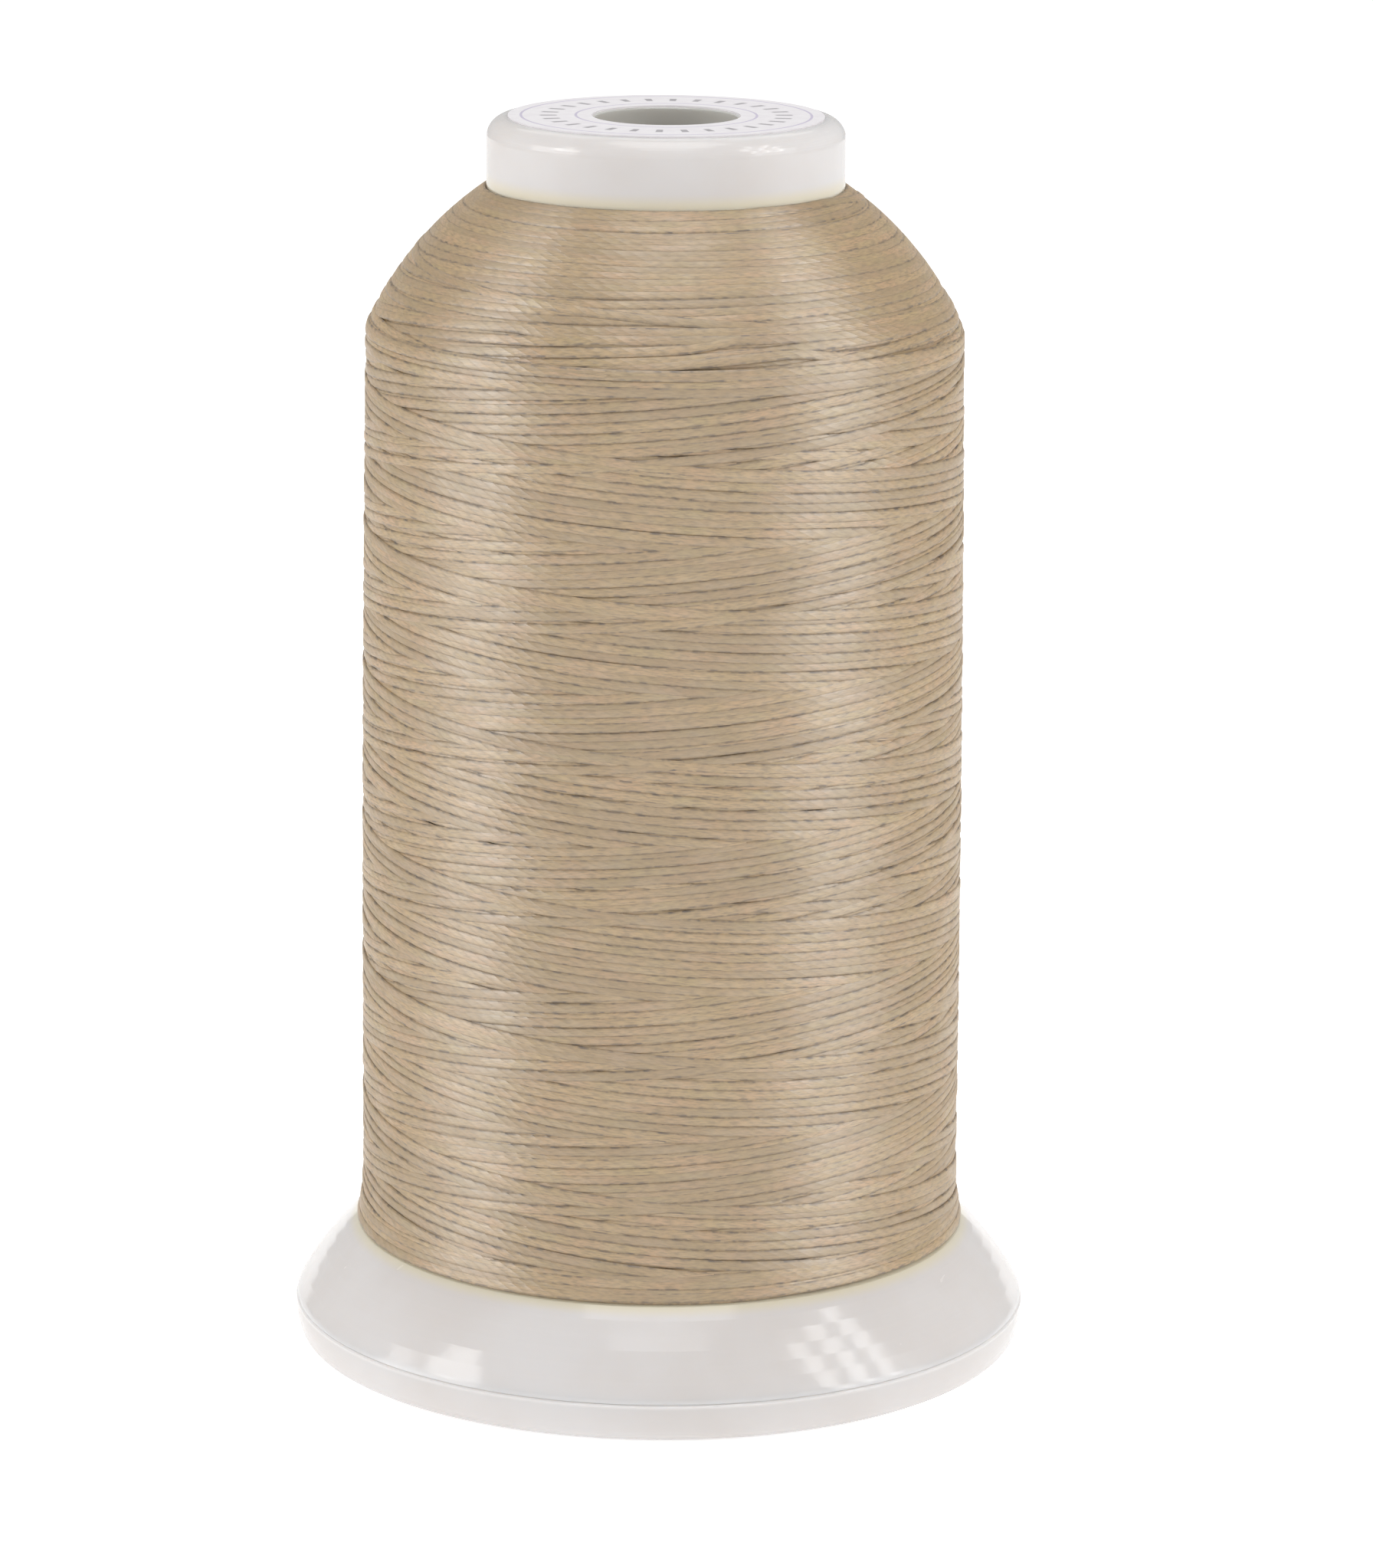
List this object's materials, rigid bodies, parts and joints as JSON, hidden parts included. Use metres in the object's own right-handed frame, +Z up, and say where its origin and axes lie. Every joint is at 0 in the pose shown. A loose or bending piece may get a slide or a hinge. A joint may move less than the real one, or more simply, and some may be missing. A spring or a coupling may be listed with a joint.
{
  "type": "thread spool",
  "caption": "Hollow moulded spool with cross-wound beige thread, a collar with a spindle hole, a conical flange and a base that pulls down to nip the thread.",
  "frame": {"origin": "centre of the foot, on the surface that the spool stands on", "axes": "+Z up along the spool's axis, towards the cap"},
  "size_m": [0.0636, 0.0636, 0.1063],
  "materials": {
    "spool_plastic": "gloss",
    "base_plastic": "gloss",
    "label_paper": "satin",
    "thread": "matte"
  },
  "bodies": {
    "base": {"snap_base": "base_plastic"},
    "spool": {"barrel": "spool_plastic", "top_cap": "spool_plastic", "label_ring": "label_paper", "thread_core": "thread", "thread_winding": "thread"}
  },
  "joints": [
    {"name": "base_snap", "type": "slide", "parent": "base", "child": "spool", "axis": [0, 0, 1], "range_m": [0, 0.003]}
  ]
}
